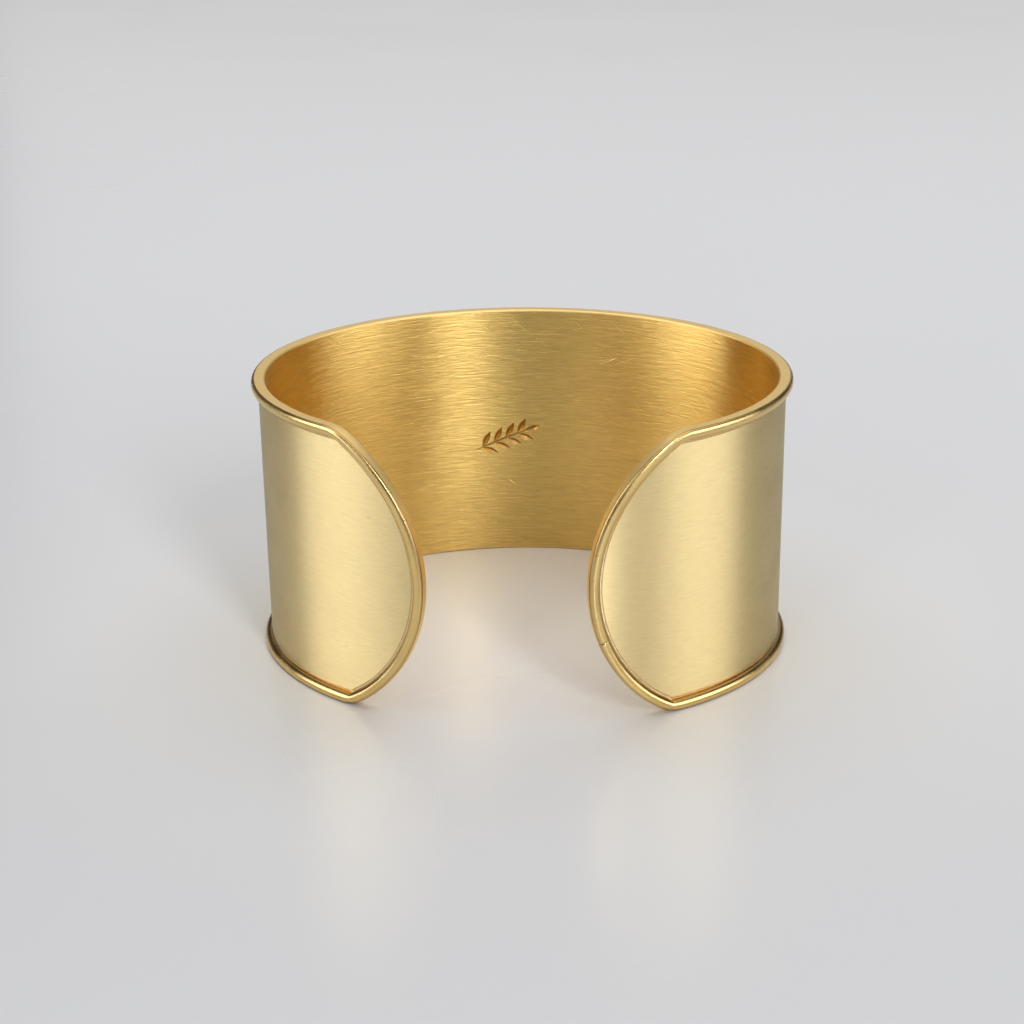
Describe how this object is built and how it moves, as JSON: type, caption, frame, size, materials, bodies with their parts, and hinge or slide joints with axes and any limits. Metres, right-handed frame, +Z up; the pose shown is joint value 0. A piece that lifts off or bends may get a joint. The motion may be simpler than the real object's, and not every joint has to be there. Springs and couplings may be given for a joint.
{
  "type": "cuff bracelet",
  "caption": "Wide open cuff bracelet of brushed gilt brass, oval in plan, with round ends and a soldered, polished rim all round its edge.",
  "frame": {"origin": "on the surface the cuff stands on, under the middle of its outer box", "axes": "+Z up along the wrist, +Y towards the middle of the back, so the gap is towards -Y, and +X along the oval's wider way"},
  "size_m": [0.0632, 0.054, 0.033],
  "materials": {
    "gilt_brass": "gold-plated brass: panels and inside satin-brushed along the band, rim polished"
  },
  "bodies": {
    "root": {"cuff": "gilt_brass"}
  },
  "joints": []
}
